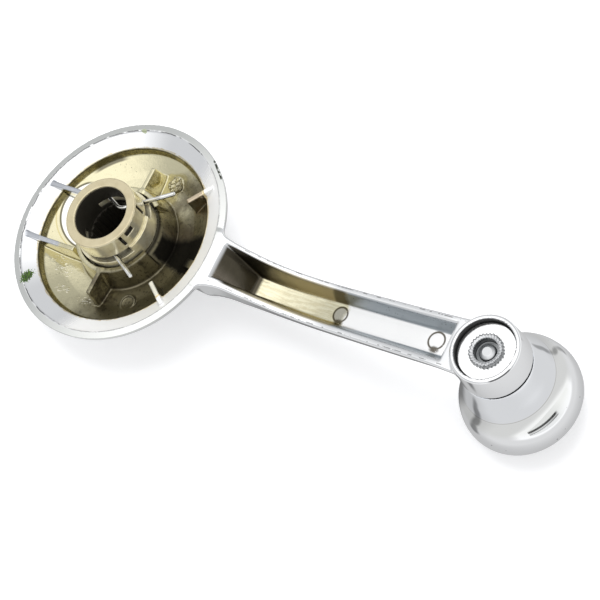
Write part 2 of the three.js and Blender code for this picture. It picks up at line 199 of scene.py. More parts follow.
# Each finish is a tree with the place on the piece in millimetres
class Finish(Tree):
    def __init__(self, name):
        super().__init__(bpy.data.materials.new(name))
        where = self.node("TexCoord", out="Object")
        self.place = self.inMillimetres(where)
        self.x, self.y, self.z = self.parts(self.place)
        self.upward = self.parts(self.other(where, "Normal"))[2]

    def radius(self, centreX=0.0, centreY=0.0):
        return self.length(self.x - centreX, self.y - centreY)

    # An oval that is 1 in its middle and 0 at its edge
    def spot(self, centreX, centreY, halfX, halfY, none=1.0, full=0.6):
        return self.fade(self.length((self.x - centreX) / halfX, (self.y - centreY) / halfY), none, full)

    def bump(self, height, strength):
        return self.node("Bump", {"Height": height, "Strength": strength, "Distance": 0.05 * mm})

    def close(self, shade, roughness, normal=None, metallic=1.0):
        sockets = {"Base Color": self.colour(shade), "Roughness": roughness, "Metallic": metallic}
        if normal is not None:
            sockets["Normal"] = normal
        self.node("OutputMaterial", {"Surface": self.node("BsdfPrincipled", sockets)})
        return self.owner


# World, floor and lamps

# Far, near and side are directions on the level, and places and sizes on the floor are in millimetres
studio = {
    "floorPoint": (-12.3 * mm, 0, -8.9 * mm), "floorSlope": 0.189, "floorSize": 0.5,
    "floorShade": (0.80, 0.805, 0.82), "floorMirrored": (1.0, 1.005, 1.01), "floorGlow": 0.42,
    # the floor's tones and patches paint the shadow round the handle as polished metal sees it
    "floorTone": 0.20, "floorTones": ((14.0, 34.0, 0.22), (55.0, 110.0, 0.32), (4.0, 11.0, 0.34)),
    "patches": ((82.0, -19.0, 4.2), (101.5, 26.8, 4.0)), "shadowPatchDepth": 0.34,
    "worldLight": 0.72, "white": (1.0, 1.0, 1.0, 1.0),
    "far": (-0.82, 0.57), "near": (0.81, -0.59), "side": (0.59, 0.81),
    "sheetShade": (1.4, 1.4, 1.4), "sheetFoot": (0.66, 0.93), "cardShade": (0.66, 0.67, 0.68),
    "gapShade": (0.45, 0.45, 0.46), "gapFar": (0.5, 0.95), "gapHeight": (0.10, 0.42, 0.08),
    "wallShade": (1.05, 1.06, 1.05), "wallStart": (-0.2, 0.1), "wallTop": (0.12, 0.02),
    "wallDim": (0.6, 0.95), "slitShade": (0.01, 0.01, 0.01), "slitFoot": (-0.128, -0.123),
    "slitTop": (0.0, -0.03), "slitNear": (0.82, 0.88),
}


# Polished metal sees white overhead, grey card round it, a dim gap on the far side, and on the near
# side a bright wall with a black slit low in it
def mirroredRoom(tree):
    x, y, z = tree.parts(tree.node("TexCoord", out="Generated"))
    far, near, side = [x * studio[way][0] + y * studio[way][1] for way in ("far", "near", "side")]
    gap = tree.fade(far, *studio["gapFar"]) * tree.band(z, *studio["gapHeight"])
    wall = tree.fade(x, *studio["wallStart"]) * tree.fade(z, *studio["wallTop"])
    wall = wall * (1.0 - tree.fade(near, *studio["wallDim"]) * 0.4)
    slit = tree.fade(z + side * side * 0.10 - side * 0.02, *studio["slitFoot"])
    slit = slit * tree.fade(z, *studio["slitTop"]) * tree.fade(near, *studio["slitNear"])
    room = tree.mix(tree.fade(z, *studio["sheetFoot"]), studio["cardShade"], studio["sheetShade"])
    room = tree.mix(wall, tree.mix(gap, room, studio["gapShade"]), studio["wallShade"])
    return tree.mix(slit, room, studio["slitShade"])


def addWorld():
    world = bpy.data.worlds.new("studio")
    bpy.context.scene.world = world
    tree = Tree(world)
    seen, glossy = tree.rays()
    plain = tree.node("Background", {0: studio["white"], 1: studio["worldLight"]})
    white = tree.node("Background", {0: studio["white"], 1: 1.0})
    mirrored = tree.node("Background", {0: mirroredRoom(tree), 1: 1.0})
    unseen = tree.node("MixShader", {0: glossy, 1: plain, 2: mirrored})
    tree.node("OutputWorld", {0: tree.node("MixShader", {0: seen, 1: unseen, 2: white})})


# Polished metal sees the sheet as a painted glow: dim close to the handle as a painted shadow, white
# farther off, with two painted dark patches near the knob
def mirroredFloor(tree):
    x, y, _ = tree.parts(tree.inMillimetres(tree.node("NewGeometry", out="Position")))
    away = tree.length((abs(x - reach / 2) - reach / 2).above(0.0), y)
    tone = studio["floorTone"]
    for none, full, share in studio["floorTones"]:
        tone = tone + tree.fade(away, none, full) * share
    for patchX, patchY, radius in studio["patches"]:
        shadowPatch = tree.fade(tree.length(x - patchX, y - patchY), radius, radius * 0.35)
        tone = tone - shadowPatch * studio["shadowPatchDepth"]
    return tree.node("Emission", {0: (*studio["floorMirrored"], 1.0), 1: tone})


def addFloor():
    half = studio["floorSize"] / 2
    mesh = bpy.data.meshes.new("floor")
    corners = [(-half, -half, 0), (half, -half, 0), (half, half, 0), (-half, half, 0)]
    mesh.from_pydata(corners, [], [(0, 1, 2, 3)])
    sheet = newObject("floor", mesh)
    tilt = Matrix.Rotation(math.atan(studio["floorSlope"]), 4, "Y")
    sheet.matrix_world = Matrix.Translation(studio["floorPoint"]) @ tilt
    tree = Tree(bpy.data.materials.new("floor"))
    seen, glossy = tree.rays()
    matte = tree.node("BsdfDiffuse", {0: (*studio["floorShade"], 1.0)})
    glow = tree.node("Emission", {0: studio["white"], 1: seen * studio["floorGlow"]})
    lit = tree.node("AddShader", {0: matte, 1: glow})
    lit = tree.node("MixShader", {0: glossy, 1: lit, 2: mirroredFloor(tree)})
    behind = tree.node("NewGeometry", out="Backfacing")
    both = tree.node("MixShader", {0: behind, 1: lit, 2: tree.node("BsdfTransparent")})
    tree.node("OutputMaterial", {0: both})
    mesh.materials.append(tree.owner)


def addLamp(name, place, size, watts, aim=(0.045, 0.0, -0.01)):
    data = bpy.data.lights.new(name, "AREA")
    data.shape = "DISK"
    data.size = size
    data.energy = watts
    lamp = newObject(name, data)
    lamp.location = place
    lamp.visible_glossy = False
    lamp.rotation_euler = (Vector(aim) - Vector(place)).to_track_quat("-Z", "Y").to_euler()


addWorld()
addFloor()
addLamp("keyLamp", (-0.10, 0.40, 0.85), 0.9, 6.0)
bpy.context.scene.view_settings.view_transform = "Standard"
print("studio lit")


# Finishes

shades = {
    "chrome": (0.92, 0.925, 0.935), "nickel": (0.74, 0.69, 0.47), "shadedNickel": (0.45, 0.42, 0.28),
    "stain": (0.20, 0.18, 0.12), "stepDark": (0.10, 0.09, 0.065), "brown": (0.20, 0.12, 0.05),
    "dirt": (0.045, 0.038, 0.028), "smudge": (0.11, 0.09, 0.065), "soot": (0.012, 0.011, 0.009),
    "speck": (0.06, 0.05, 0.03), "collarReflection": (0.92, 0.91, 0.85), "collarReflectionEdge": (0.07, 0.06, 0.03),
    "ochre": (0.52, 0.44, 0.18), "fin": (0.58, 0.60, 0.64), "seat": (0.03, 0.027, 0.02),
    "lip": (0.77, 0.78, 0.76), "haze": (0.95, 0.95, 0.94), "foot": (0.96, 0.84, 0.56),
    "gold": (0.60, 0.48, 0.24), "black": (0.03, 0.03, 0.03), "moss": (0.07, 0.15, 0.012),
    "deepMoss": (0.02, 0.04, 0.008), "lime": (0.45, 0.50, 0.34), "nick": (0.03, 0.035, 0.02),
    "olive": (0.56, 0.50, 0.35), "darkOlive": (0.055, 0.048, 0.03), "oliveSpot": (0.04, 0.035, 0.02),
    "dull": (0.44, 0.475, 0.50), "pit": (0.06, 0.06, 0.06), "cream": (0.88, 0.84, 0.62),
    "deepCream": (0.74, 0.68, 0.47), "white": (1.0, 1.0, 1.0), "ramp": (0.20, 0.175, 0.14),
    "darkRamp": (0.08, 0.07, 0.05), "disc": (0.52, 0.50, 0.42), "discRing": (0.06, 0.045, 0.02),
    "outline": (0.08, 0.08, 0.08), "recess": (0.01, 0.01, 0.01), "glint": (0.95, 0.93, 0.84),
    "wire": (0.86, 0.86, 0.84), "dullWire": (0.55, 0.54, 0.50), "zinc": (0.70, 0.71, 0.72),
    "dullZinc": (0.50, 0.50, 0.50), "crater": (0.20, 0.21, 0.215), "washer": (0.97, 0.97, 0.97),
    "dullWasher": (0.90, 0.90, 0.90), "brass": (0.72, 0.56, 0.30), "dullBrass": (0.50, 0.38, 0.20),
    "pinhole": (0.12, 0.12, 0.12), "flare": (0.84, 0.845, 0.835), "neck": (0.86, 0.875, 0.905),
    "crease": (0.40, 0.38, 0.34), "litSocketSide": (0.92, 0.86, 0.62), "socketFace": (0.68, 0.60, 0.40),
    "socketBrown": (0.46, 0.38, 0.22), "socketShadow": (0.025, 0.022, 0.018),
}
# Marks on the casting and where a painted reflection lies, in millimetres: an oval is its centre and its
# half sizes
marks = {
    "smudges": (((7.5, 13.5, 7.0, 6.0), 0.5), ((14.0, 4.5, 5.0, 5.0), 0.8), ((1.0, -14.5, 5.0, 4.0), 0.7)),
    "brown": (16.5, 12.5, 4.5, 3.5), "stepPatch": (-13.5, 15.5, 5.5, 5.0), "collarReflectionCentre": (-12.0, 3.0),
    "collarReflectionRadius": 8.4, "tailFins": ((48.8, -2.75, (0.62, 0.52, 0.38)), (-36, 1.25, (0.90, 0.87, 0.74))),
    "moss": (-17.2, -17.2, 1.8, 3.0), "lime": (-6.6, 24.3, 0.9, 0.6),
    "nick": ((14.6, 22.1), (19.2, 18.0)), "nickHalf": 0.32, "oliveSpot": (56.3, 3.0, 2.6, 2.0),
    "discs": ((56.9, 0.0, 1.75), (82.2, 0.4, 1.9)), "bossEdge": (102.4, -4.6, 3.0, 2.8),
    "scratches": ((-12.1, -11.9, 2.4, 1.6), (-9.5, -16.2, 2.2, 1.3), (-2.8, -17.0, 2.2, 1.3),
                  (-14.5, -9.8, 2.2, 1.3)),
}


# Nickel in the cup: cream where clean, brown where stained, black and greasy on the arm's side
def cupNickel(paint, clouds, patches):
    fade, band, mix, noise, spot = paint.fade, paint.band, paint.mix, paint.noise, paint.spot
    x, y, z, radius = paint.x, paint.y, paint.z, paint.radius()
    toArm = fade(x * 0.94 - y * 0.34 + (clouds - 0.5) * 14.0, -0.5, 8.5)
    # painted shade: the nickel is painted darker towards -y, where its reflection is dimmer
    lowSide = fade(y + (clouds - 0.5) * 20.0, 9.0, -14.0)
    corner = band(radius, 12.4, 1.2, 0.2) * fade(z, -4.6, -5.6)
    stain = (toArm * 0.9 + corner * 0.25).below(1.0)
    nickel = mix(stain, mix(lowSide * 0.35, "nickel", "shadedNickel"), "stain")
    # darker along the step, more so in one patch
    step = band(radius, 21.35, 0.45, 0.3) * (fade(patches, 0.44, 0.60) * 0.45 + 0.3)
    step = step.above(band(radius, 21.58, 0.2, 0.08)) * fade(z, -1.6, -2.0) * fade(x, 16.0, 10.0)
    stepPatch = band(radius, 21.0, 0.9, 0.5) * spot(*marks["stepPatch"], 1.0, 0.5)
    nickel = mix(step.above(stepPatch) * 0.85, nickel, "stepDark")
    brown = spot(*marks["brown"], 1.3, 0.3) * fade(patches, 0.40, 0.62)
    nickel = mix(brown * 0.5, nickel, "brown")
    dirt = fade(noise(paint.place, 1.1, 5.0, 0.7), 0.52, 0.62) * (toArm * 0.5 + 0.04)
    nickel = mix(dirt, nickel, "dirt")
    blotches = fade(clouds + patches * 0.5, 0.62, 0.80)
    for oval, strength in marks["smudges"]:
        nickel = mix(spot(*oval, 1.1, 0.3) * blotches * strength, nickel, "smudge")
    # soot in a wedge from the hub towards the arm
    upper = y * 0.951 - x * 0.309 + (clouds - 0.5) * 3.0
    lower = y * 0.974 + x * 0.225 + (patches - 0.5) * 2.5
    soot = fade(upper, 0.9, -1.3) * fade(lower, -0.8, 0.6) * fade(z, -2.2, -2.8)
    soot = soot * fade(radius, 9.2, 9.8) * fade(x, 6.0, 8.0)
    nickel = mix(soot * 0.97, nickel, "soot")
    specks = fade(paint.dots(paint.place, 1.3), 0.16, 0.08) * fade(noise(paint.place, 0.35), 0.52, 0.6)
    nickel = mix(specks * 0.8, nickel, "speck")
    # a painted reflection of the socket's collar in the floor beside the hub: a pale crescent with a dark
    # edge and an ochre one beyond it
    away = paint.radius(*marks["collarReflectionCentre"]) - marks["collarReflectionRadius"]
    area = fade(x, -11.6, -12.6) * fade(y, 10.6, 9.4) * fade(z, -2.5, -3.0)
    nickel = mix(fade(away, 0.0, -0.2) * area, nickel, "collarReflection")
    nickel = mix(fade(abs(away), 0.32, 0.12) * area * 0.85, nickel, "collarReflectionEdge")
    nickel = mix(band(away, 0.95, 0.22, 0.08) * area * 0.6, nickel, "ochre")
    return nickel, stain, soot, specks


# The channel has a brown-black ramp, then an olive far wall and a cream floor, and farther along the
# arm it is clean chrome with a dull far wall
def channelLining(paint, patches, fine):
    fade, mix, spot, x, y = paint.fade, paint.mix, paint.spot, paint.x, paint.y
    ramp = fade(x + paint.z * 0.577, 29.3, 28.4)
    wall = fade(abs(y), 2.35, 2.6)
    old = fade(x + (patches - 0.5) * 3.0, 58.6, 57.2)
    olive = mix(fade(x + patches * 6.0, 48.0, 34.0), "olive", "darkOlive")
    olive = mix(spot(*marks["oliveSpot"]) * 0.7, olive, "oliveSpot")
    dull = mix(fade(paint.dots(paint.place, 1.1), 0.16, 0.07), "dull", "pit")
    streaks = paint.noise(paint.vector(x * 0.25, y * 1.6), 1.0, 3.0)
    cream = mix(fade(streaks, 0.35, 0.65), "cream", "deepCream")
    lining = mix(wall, mix(old, "white", cream), mix(old, dull, olive))
    lining = mix(ramp, lining, mix(fade(y + x * 0.4 + patches * 2.0, 9.0, 13.5), "ramp", "darkRamp"))
    for discX, discY, discRadius in marks["discs"]:
        away = paint.radius(discX, discY)
        ring = paint.band(away, discRadius, 0.34, 0.1) * fade(patches, 0.28, 0.40)
        blob = spot(discX + 0.3, discY - discRadius - 0.1, 1.3, 0.85, 1.2, 0.5) * fade(fine, 0.3, 0.45)
        lining = mix(fade(away, discRadius, discRadius - 0.3) * old, lining, "disc")
        lining = mix(ring.above(blob) * 0.92, lining, "discRing")
    return lining, wall, (1.0 - wall) * (1.0 - old) * (1.0 - ramp)


def castingFinish():
    paint = Finish("chromeCasting")
    fade, band, mix, noise, spot = paint.fade, paint.band, paint.mix, paint.noise, paint.spot
    place, x, y, z = paint.place, paint.x, paint.y, paint.z
    radius, fromBoss = paint.radius(), paint.radius(reach)
    clouds = noise(place, 0.17, 5.0, 0.62, 0.4)
    patches = noise(place, 0.6, 4.0, 0.62)
    fine = noise(place, 3.0, 3.0)
    wander = noise(place, 0.5, 3.0) - 0.5
    notUnder = fade(paint.upward, -0.35, -0.15)

    # the cup, the flat tops of its webs and a painted shadow in the seat of the socket
    inside = fade(radius + wander * 0.5, 21.9, 21.5) * fade(z, -0.9, -1.7)
    inside = (inside + fade(radius, 20.8, 20.4)).below(1.0) * fade(z, -9.0, -8.9) * notUnder
    nickel, stain, soot, specks = cupNickel(paint, clouds, patches)
    fins = band(abs(y + 0.9), 6.7, 1.0, 0.75) * fade(x, -12.5, -14.0) * fade(z, -1.5, -1.0)
    shade = mix(inside, "chrome", mix(fins, nickel, "fin"))
    outerFins = fins * fade(radius, 25.0, 24.6) * fade(z, -0.75, -0.55)
    shade = mix(outerFins * (1.0 - inside), shade, "fin")
    # painted shadow where the socket sits in the hub
    shade = mix(fade(radius, 10.1, 9.8) * fade(z, 0.1, -0.3) * notUnder * 0.9, shade, "seat")
    for turn, offset, finShade in marks["tailFins"]:
        top = band(aside(x, y, turn), offset, 0.8, 0.65) * fade(outAlong(x, y, turn), 16.6, 17.0)
        top = top * fade(radius, 25.2, 24.9) * fade(z, -0.7, -0.55)
        shade = mix(top, shade, finShade)

    # a lip painted grey for the grey it reflects, the cone painted near white towards the arm, a painted
    # highlight along its foot, and a worn gold line
    lip = fade(radius, 25.35, 25.55) * fade(z, -1.2, -0.8) * fade(x, 26.0, 25.0)
    shade = mix(lip, shade, "lip")
    # painted light: the cone is painted near white, less metallic and rougher towards the arm
    whitenedCone = fade(radius, 21.6, 21.8) * fade(radius, 25.5, 25.3) * fade(x - y * 0.35, 4.0, 11.0)
    whitenedCone = whitenedCone * fade(z, -2.0, -1.8) * notUnder
    shade = mix(whitenedCone, shade, "haze")
    # painted highlight along the foot of the cone on the arm's side
    footHighlight = band(radius, 21.6, 0.28, 0.12) * fade(x, 10.0, 16.0) * fade(z, -2.5, -2.2) * notUnder
    shade = mix(footHighlight, shade, "foot")
    gold = band(radius - wander * 0.4, 21.75, 0.3, 0.08) * fade(patches, 0.35, 0.6)
    gold = gold * fade(z, -2.2, -1.9) * (1.0 - inside) * (1.0 - fins)
    shade = mix(gold * 0.8, shade, "gold")

    # on the rim a broken dark line, moss, lime and a nick
    rim = fade(z, -0.8, -0.6)
    broken = band(radius - wander * 0.3, 25.32, 0.16, 0.06) * (1.0 - fade(x - y * 0.4, 2.0, 10.0) * 0.5)
    broken = broken * fade(noise(place, 0.3, 3.0), 0.40, 0.50)
    shade = mix(broken * rim * 0.85, shade, "black")
    moss = fade(spot(*marks["moss"], 1.2, 0.1) + (fine - 0.5) * 1.6, 0.50, 0.62)
    moss = moss * fade(radius, 21.8, 22.2) * notUnder
    shade = mix(moss, shade, mix(fade(fine, 0.48, 0.58), "deepMoss", "moss"))
    lime = fade(spot(*marks["lime"], 1.3, 0.2) + (fine - 0.5) * 0.8, 0.35, 0.6) * rim
    shade = mix(lime, shade, "lime")
    (startX, startY), (endX, endY) = marks["nick"]
    run = math.hypot(endX - startX, endY - startY)
    nickTurn = math.degrees(math.atan2(endY - startY, endX - startX))
    side = aside(x - startX, y - startY, nickTurn) - 0.35 - wander * 0.5
    nick = fade(abs(side), marks["nickHalf"], 0.1) * rim * fade(noise(place, 1.1, 2.0), 0.40, 0.48)
    nick = nick * band(outAlong(x - startX, y - startY, nickTurn), run / 2, run / 2, run / 2 - 0.6)
    shade = mix(nick, shade, "nick")

    channel = fade(abs(y), 4.4, 3.9) * fade(x, 27.6, 28.6) * fade(x, 87.0, 86.8)
    channel = channel * fade(z, -0.3, -1.3) * notUnder
    lining, wall, clean = channelLining(paint, patches, fine)
    shade = mix(channel, shade, lining)

    # painted dark reflections as broken lines along the arm's rails, a short worn line on the boss's edge,
    # and the wall of its recess painted near black
    outline = fade(abs(abs(y) - 4.95 - (x - 60.0) * 0.008), 0.16, 0.05)
    outline = outline * fade(noise(place, 0.55, 3.0), 0.52, 0.58) * fade(paint.upward, 0.15, 0.4)
    outline = outline * fade(x, 26.0, 29.0) * fade(x, 90.0, 87.0) * (1.0 - channel)
    edgeLine = band(fromBoss, 7.45, 0.17, 0.07) * spot(*marks["bossEdge"], 1.0, 0.7) * fade(z, -1.0, -0.7)
    shade = mix((outline * 0.6).above(edgeLine * 0.85), shade, "outline")
    # the wall of the boss's recess is painted near black
    recess = band(fromBoss, 6.65, 0.42, 0.36) * fade(z, -0.08, -0.25) * fade(x, 88.0, 89.0)
    shade = mix(recess * 0.97, shade, "recess")

    first, *others = marks["scratches"]
    scratched = fade(spot(*first), 0.1, 0.3)
    for oval in others:
        scratched = scratched.above(spot(*oval))
    glints = noise(paint.vector(x * 0.9 + y * 0.5, y * 2.6 - x * 1.4), 1.0, 2.0)
    glints = scratched * fade(glints, 0.56, 0.64) * inside
    shade = mix(glints * 0.8, shade, "glint")
    lumps = fine * 0.6 + noise(place, 0.8, 2.0) * 2.0 + glints * 6.0
    normal = paint.bump(lumps, inside * 0.30 + channel * 0.15 + 0.008)
    rough = inside * (stain * 0.22 + 0.10 + soot * 0.25 + specks * 0.3 + fins * 0.1) + 0.045
    rough = rough + channel * (0.10 + wall * 0.25) + moss * 0.6 + recess * 0.5 + whitenedCone * 0.3 + footHighlight * 0.2
    coated = moss + lime * 0.7 + recess * 0.8 + (channel * clean + footHighlight) * 0.5 + whitenedCone * 0.6
    return paint.close(shade, rough, normal, 1.0 - coated.below(1.0))


def metalFinish(name, shade, dark, roughness):
    paint = Finish(name)
    clouds = paint.fade(paint.noise(paint.place, 0.6, 4.0), 0.4, 0.65)
    fine = paint.noise(paint.place, 5.0, 2.0)
    return paint.close(paint.mix(clouds, shade, dark), roughness + fine * 0.08, paint.bump(fine, 0.08))


# The rivet's crater is painted dark for the shade in it, and the edge its punch spread is bitten
def pinFinish():
    paint = Finish("zincSteel")
    radius = paint.radius(reach)
    fine = paint.noise(paint.place, 2.2, 3.0)
    # painted shade in the crater
    deep = paint.fade(paint.z, -0.75, -1.2) * paint.fade(radius, 1.5, 1.8)
    bitten = paint.band(radius, 3.65, 0.4, 0.15) * paint.fade(fine, 0.50, 0.60)
    shade = paint.mix(deep.above(bitten) * 0.85, "zinc", "crater")
    return paint.close(shade, 0.26 + fine * 0.1, paint.bump(fine, 0.1))


# Clean plating: a few dark specks, a breath of haze, and a line where the knob's neck ends, with painted
# shade in bands either side of it
def plateFinish(name, line=None):
    paint = Finish(name)
    z = paint.z
    specks = paint.fade(paint.dots(paint.place, 0.35), 0.075, 0.05)
    haze = paint.fade(paint.noise(paint.place, 0.12, 2.0), 0.45, 0.7)
    shade = paint.mix(specks * 0.7, "chrome", "pinhole")
    if line is not None:
        # painted shade: the knob is painted darker from a little below the line up to it, and darker and
        # bluer above it on the neck
        shade = paint.mix(paint.fade(z, line - 4.6, line - 3.0), shade, "flare")
        shade = paint.mix(paint.fade(z, line - 0.1, line + 0.1) * 0.8, shade, "neck")
        crease = paint.band(z, line, 0.16, 0.05) * paint.fade(paint.noise(paint.place, 0.2, 2.0), 0.35, 0.5)
        shade = paint.mix(crease * 0.5, shade, "crease")
    return paint.close(shade, 0.03 + haze * 0.03)


# Nickel outside, with painted shade in the bore and the clip slots, which are also rougher, and a painted
# shadow low on the flange's rear side
def socketFinish():
    paint = Finish("nickelSteel")
    x, y, z, radius = paint.x, paint.y, paint.z, paint.radius()
    # painted shade in the bore and the clip slots
    bore = paint.fade(radius, 6.9, 6.55) * paint.fade(z, 8.2, 7.6)
    slot = paint.fade(z, 7.85, 7.6) * paint.fade(z, 1.5, 1.7) * paint.fade(radius, 8.62, 8.4)
    # painted shadow low on the flange's rear side
    foot = paint.fade(z, 1.0, 0.2) * paint.fade(radius, 8.0, 8.3) * paint.fade(x - y * 0.3, 6.0, 2.0)
    dark = bore.above(slot).above(foot)
    clouds = paint.fade(paint.noise(paint.place, 0.45, 4.0, 0.6), 0.42, 0.68)
    turnMarks = paint.noise(paint.vector(radius * 3.0, 0.0, z * 3.0), 2.0, 2.0)
    # painted light: the sides are painted lighter than the top face, standing in for the lamp's highlight
    # on them
    face = paint.fade(z, 8.0, 8.2)
    nickel = paint.mix(face, "litSocketSide", "socketFace")
    nickel = paint.mix(clouds * (0.45 - face * 0.1), nickel, "socketBrown")
    shade = paint.mix(dark * 0.96, nickel, "socketShadow")
    roughness = 0.16 + clouds * 0.08 + dark * 0.4
    return paint.close(shade, roughness, paint.bump(turnMarks, 0.06), 0.65 - dark * 0.15)


looks = {
    "handle_casting": castingFinish(),
    "hub_socket": socketFinish(),
    "retaining_clip": metalFinish("springWire", "wire", "dullWire", 0.18),
    "knob_pin": pinFinish(),
    "rivet_washer": metalFinish("washerSteel", "washer", "dullWasher", 0.10),
    "bow_washer": metalFinish("bowSteel", "zinc", "dullZinc", 0.3),
    "knob_shell": plateFinish("chromeKnob", -15.3),
    "knob_bush": metalFinish("bushBrass", "brass", "dullBrass", 0.3),
    "knob_cap": plateFinish("chromeCap"),
}
for node, material in looks.items():
    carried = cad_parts[node]
    carried.data.materials.clear()
    carried.data.materials.append(material)
print("finishes made")


# Curved and cut forms are distance fields in millimetres, negative inside, then skinned

def softMax(first, second, rounding):
    overlap = np.maximum(rounding - np.abs(first - second), 0)
    return np.maximum(first, second) + overlap * overlap / (4 * rounding)


def softMin(first, second, rounding):
    return -softMax(-first, -second, rounding)


def fromMark(x, y, mark):
    turn = math.radians(mark["turn"])
    return x - mark["out"] * math.cos(turn), y - mark["out"] * math.sin(turn)


# Corners (across, up, fillet) become a path with true arcs; a corner with no fillet stays sharp
def filleted(corners, arcStep=0.3):
    path = []
    count = len(corners)
    for i, corner in enumerate(corners):
        here = np.array(corner[:2], float)
        fillet = corner[2] if len(corner) > 2 else 0
        if not fillet:
            path.append(here)
            continue
        back = np.array(corners[i - 1][:2], float) - here
        ahead = np.array(corners[(i + 1) % count][:2], float) - here
        backLength, aheadLength = np.hypot(*back), np.hypot(*ahead)
        back, ahead = back / backLength, ahead / aheadLength
        half = math.acos(max(-1, min(1, float(back @ ahead)))) / 2
        run = min(fillet / math.tan(half), 0.49 * backLength, 0.49 * aheadLength)
        fillet = run * math.tan(half)
        middle = (back + ahead) / np.hypot(*(back + ahead))
        centre = here + middle * fillet / math.sin(half)
        start, end = here + back * run - centre, here + ahead * run - centre
        sweep = math.pi - 2 * half
        steps = max(2, int(sweep / arcStep) + 1)
        for k in range(steps + 1):
            turn = sweep * k / steps
            path.append(centre + (start * math.sin(sweep - turn) + end * math.sin(turn)) / math.sin(sweep))
    return np.array(path)


# The field of a turned form, read from a fine table over the half plane
class Turned:
    def __init__(self, corners, centreX=0.0, margin=2.5, step=0.1):
        points = filleted(corners)
        points[points[:, 0] < 1e-6, 0] = -2 * margin
        self.centreX = centreX
        self.low = np.array([0.0, points[:, 1].min() - margin])
        size = points.max(0) + margin - self.low
        self.counts = np.ceil(size / step).astype(int) + 1
        self.step = step
        across, up = [self.low[i] + step * np.arange(self.counts[i]) for i in (0, 1)]
        across, up = np.meshgrid(across, up, indexing="ij")
        nearest = np.full(across.shape, 1e9)
        inside = np.zeros(across.shape, bool)
        for (x0, y0), (x1, y1) in zip(points, np.roll(points, -1, 0)):
            dx, dy = x1 - x0, y1 - y0
            length = dx * dx + dy * dy
            if length < 1e-12:
                continue
            share = np.clip(((across - x0) * dx + (up - y0) * dy) / length, 0, 1)
            nearest = np.minimum(nearest, (across - x0 - share * dx) ** 2 + (up - y0 - share * dy) ** 2)
            crosses = (y0 > up) != (y1 > up)
            if dy:
                inside ^= crosses & (across < x0 + (up - y0) * dx / dy)
        self.table = (np.sqrt(nearest) * np.where(inside, -1, 1)).astype(np.float32)

    def __call__(self, x, y, z):
        places = []
        beyond = 0.0
        for value, low, count in zip((np.hypot(x - self.centreX, y), z), self.low, self.counts):
            share = (value - low) / self.step
            held = np.clip(share, 0, count - 1.001)
            beyond = beyond + np.abs(share - held) * self.step
            whole = held.astype(np.int32)
            places.append((whole, (held - whole).astype(np.float32)))
        (i, s), (j, t) = places
        lower = self.table[i, j] * (1 - s) + self.table[i + 1, j] * s
        upper = self.table[i, j + 1] * (1 - s) + self.table[i + 1, j + 1] * s
        return lower * (1 - t) + upper * t + beyond


def newPiece(name, points, faces, body, node, sharp=None, normals=None):
    mesh = bpy.data.meshes.new(name)
    mesh.from_pydata((np.asarray(points) * mm).tolist(), [], faces)
    mesh.shade_smooth()
    if normals is not None:
        mesh.normals_split_custom_set_from_vertices(normals.tolist())
    else:
        mesh.set_sharp_from_angle(angle=math.radians(sharp))
    mesh.materials.append(looks[node])
    piece = newObject(name, mesh)
    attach(piece, body)
    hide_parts(node)


def slopeOf(field, points, reachOut=0.04):
    slopes = []
    for axis in np.eye(3) * reachOut:
        slopes.append(field(*(points + axis).T) - field(*(points - axis).T))
    return np.stack(slopes, 1) / (2 * reachOut)


